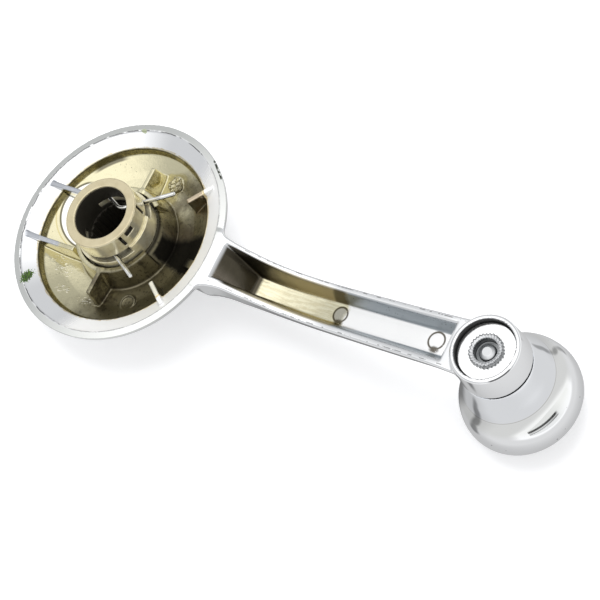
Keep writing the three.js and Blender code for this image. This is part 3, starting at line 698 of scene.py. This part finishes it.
# A skin of four-sided faces over the field, drawn on to it and shaded by its slope
def skinned(field, low, high, cell):
    low, high = np.array(low, float), np.array(high, float)
    counts = np.ceil((high - low) / cell).astype(int) + 1
    x, y, z = [low[i] + cell * np.arange(counts[i]) for i in range(3)]
    values = np.empty(tuple(counts), np.float32)
    for start in range(0, counts[0], 40):
        slab = slice(start, start + 40)
        values[slab] = field(x[slab, None, None], y[None, :, None], z[None, None, :])
    inside = values < 0
    corners = [(a, b, c) for a in (0, 1) for b in (0, 1) for c in (0, 1)]
    size = counts - 1
    full = sum(inside[a:a + size[0], b:b + size[1], c:c + size[2]].astype(np.int8) for a, b, c in corners)
    mixed = (full > 0) & (full < 8)
    cells = np.argwhere(mixed)
    number = np.full(mixed.shape, -1, np.int32)
    number[mixed] = np.arange(len(cells))
    heights = np.stack([values[tuple((cells + corner).T)] for corner in corners], 1)
    total = np.zeros((len(cells), 3))
    share = np.zeros(len(cells))
    for first in range(8):
        for second in range(first + 1, 8):
            near, far = np.array(corners[first]), np.array(corners[second])
            if np.abs(near - far).sum() != 1:
                continue
            crossed = (heights[:, first] < 0) != (heights[:, second] < 0)
            span = np.where(crossed, heights[:, first] - heights[:, second], 1)
            part = np.where(crossed, heights[:, first] / span, 0)[:, None]
            total += crossed[:, None] * (near + part * (far - near))
            share += crossed
    points = low + cell * (cells + total / share[:, None])
    for _ in range(2):
        slope = slopeOf(field, points)
        steep = np.maximum((slope * slope).sum(1), 0.05)
        move = -(field(*points.T) / steep)[:, None] * slope
        length = np.sqrt((move * move).sum(1))[:, None]
        points = points + move * np.minimum(1, 0.4 * cell / np.maximum(length, 1e-9))
    normals = slopeOf(field, points)
    normals /= np.maximum(np.sqrt((normals * normals).sum(1)), 1e-9)[:, None]
    faces = []
    for axis in range(3):
        side, up = (axis + 1) % 3, (axis + 2) % 3
        ahead = [slice(None)] * 3
        here = [slice(None)] * 3
        ahead[axis], here[axis] = slice(1, None), slice(None, -1)
        crossed = inside[tuple(ahead)] != inside[tuple(here)]
        places = np.argwhere(crossed)
        places = places[(places[:, side] > 0) & (places[:, up] > 0)]
        places = places[(places[:, side] < size[side]) & (places[:, up] < size[up])]
        outward = inside[tuple(places.T)]
        ringOf = []
        for back, down in ((1, 1), (0, 1), (0, 0), (1, 0)):
            shifted = places.copy()
            shifted[:, side] -= back
            shifted[:, up] -= down
            ringOf.append(number[tuple(shifted.T)])
        quads = np.stack(ringOf, 1)
        quads = np.where(outward[:, None], quads, quads[:, ::-1])
        faces.append(quads[(quads >= 0).all(1)])
    return points, np.concatenate(faces).tolist(), normals


def skinnedPiece(name, field, low, high, cell, body, node):
    points, faces, normals = skinned(field, low, high, cell * (1))
    print(name, "has", len(faces), "faces")
    newPiece(name, points, faces, body, node, normals=normals)


# A mesh turned about the knob's axis from closed corners, with an optional uneven edge
def turnedPiece(name, corners, body, node, sides=128, uneven=None):
    path = filleted(corners, 0.2)
    after = np.roll(path, -1, 0)
    if (path[:, 0] * after[:, 1] - after[:, 0] * path[:, 1]).sum() < 0:
        path = path[::-1]
    points, rings = [], []
    for across, up in path:
        if across < 1e-6:
            rings.append([len(points)] * sides)
            points.append((reach, 0, up))
            continue
        rings.append(list(range(len(points), len(points) + sides)))
        for k in range(sides):
            turn = 2 * math.pi * k / sides
            radius, height = uneven(across, up, turn) if uneven else (across, up)
            points.append((reach + radius * math.cos(turn), radius * math.sin(turn), height))
    faces = []
    for lower, upper in zip(rings, rings[1:] + rings[:1]):
        if lower[0] == lower[1] and upper[0] == upper[1]:
            continue
        for k in range(sides):
            after = (k + 1) % sides
            loop = [lower[k], lower[after], upper[after], upper[k]]
            faces.append([v for v, w in zip(loop, loop[1:] + loop[:1]) if v != w])
    newPiece(name, points, faces, body, node, sharp=40)


# The smooth curve between two levels with the lean at either of them
def cubic(t, level, nextLevel, lean, nextLean):
    level = level * (2 * t ** 3 - 3 * t ** 2 + 1) + nextLevel * (3 * t ** 2 - 2 * t ** 3)
    return level + lean * (t ** 3 - 2 * t ** 2 + t) + nextLean * (t ** 3 - t ** 2)


# A table of shares along the arm as a smooth curve, as in the source of the solids
def along(stations, shares, unit):
    stations, shares = np.array(stations), np.array(shares)
    first = np.maximum(np.arange(len(stations)) - 1, 0)
    last = np.minimum(np.arange(len(stations)) + 1, len(stations) - 1)
    slopes = (shares[last] - shares[first]) / (stations[last] - stations[first])
    fine = np.linspace(stations[0], stations[-1], 400)
    i = np.clip(np.searchsorted(stations, fine, "right") - 1, 0, len(stations) - 2)
    span = stations[i + 1] - stations[i]
    t = (fine - stations[i]) / span
    heights = unit * cubic(t, shares[i], shares[i + 1], slopes[i] * span, slopes[i + 1] * span)
    return lambda x: np.interp(x, fine * reach, heights).astype(np.float32)


# The casting: cup, arm and boss with the webs, pads and hub ring cast in

cup = {
    "radius": 27.0, "lip": 25.3, "front": 9.7, "edge": 1.6, "coneDrop": 1.8, "step": 21.6, "stepFoot": 21.0,
    "stepLow": -3.5, "dishRadius": 16.6, "dishLow": -5.45, "hubFoot": 12.2, "floor": -6.0,
    "gap": (-17, 50),
}
arm = {
    "halfWidth": 5.5, "dip": 6.2, "depth": 12.6, "waist": 0.42, "start": 1.0, "end": 93.3,
    "rails": ((0, 0.265, 0.29, 0.321, 0.363, 0.404, 0.466, 0.549, 0.632, 0.715, 0.798, 0.891, 0.98),
              (0.02, 0.02, 0.03, 0.13, 0.42, 0.68, 0.93, 1, 0.92, 0.81, 0.68, 0.53, 0.47)),
    "widths": (0.5, 1.2, 1.1, 1, 0.97, 0.95, 0.955, 0.98, 1, 1.02, 1.04, 1.08, 1.16),
    "bellies": (0.55, 1.15, 1.05, 0.97, 0.94, 0.91, 0.9, 0.91, 0.93, 0.95, 0.97, 1, 1.1),
    "fronts": ((0, 0.1, 0.2, 0.31, 0.41, 0.52, 0.6, 0.72, 0.84, 0.9, 0.98),
               (0.76, 0.81, 0.86, 0.93, 0.985, 0.985, 0.935, 0.835, 0.72, 0.63, 0.53)),
}
channel = {
    "start": 28.0, "ramp": 5.6, "end": 86.6, "skew": 0.5, "mouth": 3.9, "foot": 2.5, "depth": 10.6,
    "stations": (0.26, 0.36, 0.43, 0.52, 0.6, 0.735, 0.84, 0.92),
    "floors": (0.9, 0.96, 1, 0.98, 0.905, 0.775, 0.67, 0.62),
    "widths": (1.1, 0.97, 0.94, 0.97, 1, 1.05, 1.1, 1.14),
}
# Each web: its turn about the hub, its distance aside, its start, its end and its top
webs = (
    (90, -0.9, 8.8, 16.3, 0), (-90, 0.9, 8.8, 16.3, 0), (180, 7.6, 8.8, 23.7, -0.3),
    (180, -5.8, 8.8, 23.7, -0.3), (48.8, -2.75, 17.2, 23.8, -0.3), (-36, 1.25, 17.2, 23.8, -0.3),
)
sprue = {"turn": 72, "out": 16.4, "radius": 1.9, "top": -4.6}
ejector = {"turn": -60, "out": 16.4, "radius": 2.1, "top": -4.95, "rim": 1.55}
chip = {"turn": -5.0, "from": 18.8, "to": 22.6, "half": 1.1, "top": -2.9}


def castingField():
    frontShare = np.linspace(0, cup["radius"] - 0.6, 24)
    frontUp = -cup["front"] + (cup["front"] - cup["edge"]) * (frontShare / frontShare[-1]) ** 3
    front = list(zip(frontShare[:-1], frontUp[:-1]))
    radius, lip = cup["radius"], cup["lip"] + 0.1
    blank = Turned(front + [(radius - 0.3, -1.6, 0.8), (radius, -0.2, 0.12), (lip, 0, 0.12), (0, 0)])
    hollow = Turned([
        (0, cup["floor"]), (cup["hubFoot"], cup["floor"], 1), (cup["dishRadius"], cup["dishLow"], 6),
        (cup["stepFoot"], cup["stepLow"], 0.5), (cup["step"], -cup["coneDrop"], 0.25),
        (cup["lip"] - 0.2, -0.22, 0.3), (lip, 0.6), (lip, 3), (0, 3),
    ])
    hub = Turned([(0, -9), (12.6, -9), (12.2, -6), (10.8, 0, 0.35), (0, 0)])
    seats = Turned([
        (0, -7.4), (8.15, -7.4), (8.15, -1.3), (9.6, -1.3), (9.6, -0.25, 0.2), (9.9, 3), (0, 3),
    ])
    domed = Turned(front + [(radius - 0.3, -1.5, 0.8), (radius, 3), (0, 3)])
    gapSlope = Turned([(9.6, -1.3, 0.3), (12.2, -6), (12.4, -6), (12.4, 3), (9.6, 3)])
    boss = Turned([(0, -7.2), (8.05, -7.2, 0.3), (7.6, 0, 0.55), (0, 0)], reach)
    recess = Turned([
        (0, -12), (3.2, -12), (3.2, -2.0), (6.6, -2.0), (6.6, -0.12, 0.12), (6.8, 3), (0, 3),
    ], reach)
    rail = along(*arm["rails"], -arm["dip"])
    halfWidth = along(arm["rails"][0], arm["widths"], arm["halfWidth"])
    belly = along(arm["rails"][0], arm["bellies"], arm["halfWidth"])
    armFront = along(*arm["fronts"], -arm["depth"])
    floorAt = along(channel["stations"], channel["floors"], -channel["depth"])
    widthAt = along(channel["stations"], channel["widths"], 1)

    def railSlope(x):
        return (rail(x + 0.1) - rail(x - 0.1)) / 0.2

    def armBody(x, y, z):
        back, low = rail(x), armFront(x)
        waist = back + (low - back) * arm["waist"]
        wide, slim = halfWidth(x), belly(x)
        upper = np.clip((back - z) / (back - waist), 0, 1)
        flank = np.abs(y) - wide + (wide - slim) * upper
        down = np.minimum(z - waist, 0) / (low - waist)
        share = np.sqrt((y / slim) ** 2 + down * down) + 1e-6
        steep = np.sqrt((y / slim ** 2) ** 2 + (down / (low - waist)) ** 2) + 1e-6
        side = np.where(z > waist, flank, (share - 1) * share / steep)
        top = (z - back) / np.sqrt(1 + railSlope(x) ** 2)
        return np.maximum(softMax(side, top, 0.7), np.maximum(arm["start"] - x, x - arm["end"]))

    def channelHollow(x, y, z):
        back, low = rail(x), floorAt(np.maximum(x, channel["start"] + channel["ramp"]))
        left = np.clip((channel["end"] - x) / (channel["end"] - channel["start"]), 0, 1)
        foot, mouth = channel["foot"] * widthAt(x), channel["mouth"] * widthAt(x)
        half = foot + (mouth - foot) * (z - low) / (back - low)
        side = np.abs(y - channel["skew"] * left ** 3) - half
        rampX = channel["start"] + channel["ramp"] * (-0.2 - z) / 9.7
        ends = softMax((rampX - x) * 0.866, x - channel["end"], 0.3)
        return softMax(softMax(side, low - z, 0.7), ends, 0.5)

    # the hub's ring is open towards the arm
    def hubGap(x, y, z):
        first, last = [aside(x, y, turn) for turn in cup["gap"]]
        return softMax(gapSlope(x, y, z), np.maximum(-first, last), 0.3)

    def web(x, y, z, turn, offset, start, end, top):
        out = outAlong(x, y, turn)
        thick = 0.55 - z * 0.035
        ends = np.maximum(start - out, (out - end + z * 0.145) * 0.99)
        return softMax(softMax(np.abs(aside(x, y, turn) - offset) - thick, z - top, 0.22), ends, 0.22)

    # the sprue was broken off, so its stub is lumpy; the ejector left a rimmed hollow
    def sprueStub(x, y, z):
        across, along = fromMark(x, y, sprue)
        lumps = 0.22 * np.sin(4.1 * across + 1.2) * np.sin(3.7 * along + 0.4)
        lumps = lumps + 0.12 * np.sin(9 * across + 5 * along)
        edge = np.hypot(across, along) - sprue["radius"] + 0.12 * np.sin(5 * np.arctan2(along, across))
        return softMax(edge, z - sprue["top"] - lumps, 0.4)

    def ejectorMark(x, y, z):
        across, along = fromMark(x, y, ejector)
        out = np.hypot(across, along)
        disc = softMax(out - ejector["radius"], z - ejector["top"] - 0.08 * across, 0.25)
        hollow = softMax(out - ejector["rim"], ejector["top"] - 0.45 - 0.1 * along - z, 0.2)
        return softMax(disc, -hollow, 0.15)

    def lowChip(x, y, z):
        out = outAlong(x, y, chip["turn"])
        side = np.abs(aside(x, y, chip["turn"])) - chip["half"]
        ends = np.maximum(chip["from"] - out, out - chip["to"])
        return softMax(softMax(side, z - chip["top"] - 0.25 * (out - chip["from"]), 0.25), ends, 0.25)

    def field(x, y, z):
        shell = blank(x, y, z)
        body = softMin(softMin(shell, armBody(x, y, z), 1.2), boss(x, y, z), 0.8)
        body = softMax(body, -hollow(x, y, z), 0.3)
        body = softMax(body, -channelHollow(x, y, z), 0.5)
        core = domed(x, y, z) + 1.0
        for shape in webs:
            body = softMin(body, np.maximum(web(x, y, z, *shape), core), 0.35)
        for mark in (sprueStub, ejectorMark, lowChip):
            body = softMin(body, np.maximum(mark(x, y, z), core), 0.2)
        body = softMin(body, np.maximum(hub(x, y, z), core), 0.5)
        body = softMax(body, -hubGap(x, y, z), 0.3)
        body = softMax(body, -seats(x, y, z), 0.25)
        return softMax(body, -recess(x, y, z), 0.15)

    return field


skinnedPiece("castHandle", castingField(), (-27.6, -27.6, -13.0), (105.2, 27.6, 0.6), 0.25,
             "handle", "handle_casting")
print("casting made")


# The splined steel socket with its milled clip slots

socket = {
    "top": 8.3, "bottom": -7.2, "collar": 8.7, "flange": 9.3, "neck": 7.9, "body": 8.0, "bore": 6.45,
    "slotLow": 1.6, "slotHigh": 3.2, "frontPost": 4.0, "rearPost": 3.2, "splineTop": 0.5, "splines": 24,
    "splineDepth": 0.55, "seat": -1.3,
}


def socketField():
    top, bottom, seat, slotHigh = [socket[name] for name in ("top", "bottom", "seat", "slotHigh")]
    blank = Turned([
        (socket["bore"], bottom), (socket["body"], bottom, 0.3), (socket["body"], seat),
        (socket["flange"], seat), (socket["flange"], slotHigh, 0.15),
        (socket["collar"], slotHigh, 0.15), (socket["collar"], top, 0.35), (socket["bore"], top, 0.3),
    ], margin=2.0, step=0.06)

    def slot(x, y, z):
        post = np.where(x > 0, socket["frontPost"], socket["rearPost"])
        tall = np.maximum(socket["slotLow"] - z, z - slotHigh)
        groove = np.maximum(x, socket["neck"] - np.hypot(x, y))
        return softMax(np.minimum(post - np.abs(y), groove), tall, 0.2)

    def radialCut(x, y, z, turn, width, low, high):
        side = np.abs(aside(x, y, turn)) - width / 2
        return softMax(softMax(side, np.maximum(low - z, z - high), 0.2), 3.0 - outAlong(x, y, turn), 0.1)

    def field(x, y, z):
        turn = np.arctan2(y, x) * socket["splines"] / (2 * math.pi)
        tooth = np.abs((turn % 1.0) * 2 - 1)
        inner = (socket["bore"] - socket["splineDepth"] * tooth - np.hypot(x, y)) * 0.8
        splines = softMax(inner, np.maximum(z - socket["splineTop"], bottom - z), 0.15)
        splines = np.maximum(splines, np.hypot(x, y) - socket["body"] + 0.5)
        body = np.minimum(blank(x, y, z), splines)
        body = softMax(body, -slot(x, y, z), 0.12)
        for turn in (28, -28):
            body = softMax(body, -radialCut(x, y, z, turn, 0.7, 4.1, 7.7), 0.12)
        return softMax(body, -radialCut(x, y, z, -11, 2.3, 6.0, 7.5), 0.12)

    return field


skinnedPiece("steelSocket", socketField(), (-9.7, -9.7, -7.5), (9.7, 9.7, 8.6), 0.13,
             "handle", "hub_socket")
print("socket made")


# The spring wire clip, a round tube along filleted corners with rounded ends

clip = {
    "wire": 1.0, "height": 2.4, "sides": 20,
    "half": ((11.4, 10.6), (-0.2, 3.9, 2.4), (-5.6, 6.3, 3.0), (-9.3, 4.2, 5.0)), "lean": 0.5,
}


def tube(name, path, radius, sides, body, node):
    path = np.array(path)
    lengths = np.hypot(*np.diff(path[:, :2], axis=0).T)
    path = path[np.concatenate([[True], lengths > 1e-4])]
    ahead = np.gradient(path, axis=0)
    ahead /= np.sqrt((ahead * ahead).sum(1))[:, None]
    first, last = [], []
    for run, size in ((0.0, 0.02), (0.12, 0.5), (0.35, 0.85), (0.6, 1.0)):
        beyond = radius * (0.6 - run)
        first.append((path[0] - ahead[0] * beyond, ahead[0], radius * size))
        last.append((path[-1] + ahead[-1] * beyond, ahead[-1], radius * size))
    rings = first + [(place, way, radius) for place, way in zip(path, ahead)] + last[::-1]
    points, faces = [], []
    up = np.array((0.0, 0.0, 1.0))
    for place, way, size in rings:
        side = np.cross(way, up)
        for k in range(sides):
            turn = 2 * math.pi * k / sides
            points.append(place + size * (side * math.cos(turn) + up * math.sin(turn)))
    for start in range(0, len(points) - sides, sides):
        for k in range(sides):
            after = (k + 1) % sides
            faces.append((start + k, start + after, start + sides + after, start + sides + k))
    faces += [tuple(range(sides))[::-1], tuple(range(len(points) - sides, len(points)))]
    newPiece(name, points, faces, body, node, sharp=60)


half = list(clip["half"])
corners = half + [(x, -y, *rest) for x, y, *rest in reversed(half)]
for tip in (0, -1):
    corners[tip] = (corners[tip][0], corners[tip][1] + clip["lean"])
corners = filleted(corners, 0.12)
tube("wireClip", [(x, y, clip["height"]) for x, y in corners], clip["wire"] / 2, clip["sides"],
     "clip", "retaining_clip")
print("clip made")


# The knob and its riveted pin

knob = {
    "top": -7.8, "neck": 8.0, "radius": 13.4, "height": 19.4, "tube": 6.6, "bore": 5.4,
    "cavity": -14.0, "cavityLow": -23.2, "seat": 11.0, "seatDepth": 1.1, "ledge": 1.2,
    "capRise": 3.1, "capGap": 0.15, "sides": 192, "crease": 4,
    "depths": (0.02, 0.165, 0.273, 0.387, 0.459, 0.526, 0.588, 0.639, 0.691, 0.753, 0.814, 0.866, 0.918,
               0.959, 0.985, 1),
    "radii": (0.022, 0.176, 0.3, 0.426, 0.515, 0.617, 0.731, 0.824, 0.898, 0.954, 0.99, 1, 0.972, 0.898,
              0.806, 0.667),
}
knob["rim"] = knob["top"] - knob["height"]
pin = {
    "shank": 2.95, "journal": 4.0, "head": 6.2, "headLow": -25.6, "headTop": -24.3, "shoulder": -7.2,
    "flare": 3.7, "flareTop": -0.5, "foot": -1.5, "hollow": 2.6, "hollowLow": -2.65,
    "nub": 1.85, "nubTop": -1.6, "notches": 29,
}


# A smooth curve through points, by the slope between each point's neighbours
def smoothed(points, steps=4):
    points = np.array(points, float)
    lean = np.gradient(points, axis=0)
    path = []
    for k in range(len(points) - 1):
        for t in np.arange(steps) / steps:
            path.append(cubic(t, points[k], points[k + 1], lean[k], lean[k + 1]))
    return [tuple(place) for place in path + [points[-1]]]


def flareCorners():
    grow = knob["radius"] - knob["neck"]
    profile = [(knob["neck"] + grow * out, knob["top"] - knob["height"] * down)
               for down, out in zip(knob["depths"], knob["radii"])]
    crease = knob["crease"]
    return smoothed(profile[:crease])[:-1] + smoothed(profile[crease - 1:])


def knobCorners():
    top, rim, seat, tube, bore = [knob[name] for name in ("top", "rim", "seat", "tube", "bore")]
    floor, ledge = rim + knob["seatDepth"], seat - knob["ledge"]
    high, low = knob["cavity"], knob["cavityLow"]
    return [(knob["neck"], top, 0.15)] + flareCorners() + [
        (seat, rim, 0.15), (seat, floor), (ledge, floor), (ledge, low, 0.5), (8.0, high, 0.5),
        (tube, high, 0.2), (tube, low), (bore, low), (bore, top),
    ]


def capCorners():
    radius, top = knob["seat"] - knob["capGap"], knob["rim"] + knob["seatDepth"]
    inner = radius - 1.35
    shares = [math.sin(turn) for turn in np.linspace(0, math.pi / 2, 16)]
    outer = [(radius * s, knob["rim"] - knob["capRise"] * math.sqrt(max(0, 1 - s * s))) for s in shares]
    hollow = [(inner * s, top - knob["capRise"] * math.sqrt(max(0, 1 - s * s))) for s in reversed(shares)]
    return outer + [(radius, top)] + hollow


# The rivet was spread over the washer by a notched punch
def peened(across, up, turn):
    if up < pin["foot"] + 0.05 or across < pin["hollow"] - 0.1:
        return across, up
    tooth = math.cos(pin["notches"] * turn + 0.7 * math.sin(3 * turn))
    wander = 0.05 * math.sin(5 * turn + 1.1) + 0.04 * math.sin(9 * turn + 0.4)
    if across > 3.0:
        return across + (0.10 * tooth + wander), up + (0.08 * tooth - 0.08)
    return across + 0.03 * tooth, up


turnedPiece("knobBody", knobCorners(), "knob", "knob_shell", knob["sides"])
turnedPiece("knobFace", capCorners(), "knob", "knob_cap", knob["sides"])
turnedPiece("rivetPin", [
    (0, pin["headLow"]), (pin["head"], pin["headLow"], 0.3), (pin["head"], pin["headTop"]),
    (pin["journal"], pin["headTop"]), (pin["journal"], pin["shoulder"]), (pin["shank"], pin["shoulder"]),
    (pin["shank"], pin["foot"]), (3.3, pin["foot"]), (pin["flare"], pin["foot"] + 0.12, 0.1),
    (pin["flare"] - 0.08, pin["flareTop"] - 0.15, 0.25),
    (3.15, pin["flareTop"], 0.25), (pin["hollow"] + 0.05, pin["flareTop"] - 0.3, 0.2),
    (pin["hollow"], pin["hollowLow"], 0.2), (pin["nub"], pin["hollowLow"], 0.1),
    (pin["nub"] - 0.05, pin["hollowLow"] + 0.6, 0.25), (1.0, pin["nubTop"], 0.2), (0, pin["nubTop"] - 0.05),
], "handle", "knob_pin", 8 * pin["notches"], peened)
turnedPiece("rivetWasher", [
    (3.1, -2.0), (6.4, -2.0, 0.1), (6.4, -1.5, 0.18), (3.1, -1.5, 0.1),
], "handle", "rivet_washer")
turnedPiece("bowWasher", [
    (4.3, -7.55), (6.6, -7.55, 0.1), (6.6, -7.2, 0.1), (4.3, -7.2),
], "handle", "bow_washer")
turnedPiece("flangedBush", [
    (4.15, -23.9), (6.3, -23.9, 0.15), (6.3, -23.2, 0.15), (5.25, -23.2, 0.2), (5.25, -7.95, 0.2),
    (4.15, -7.95, 0.1),
], "knob", "knob_bush")
print("knob made")
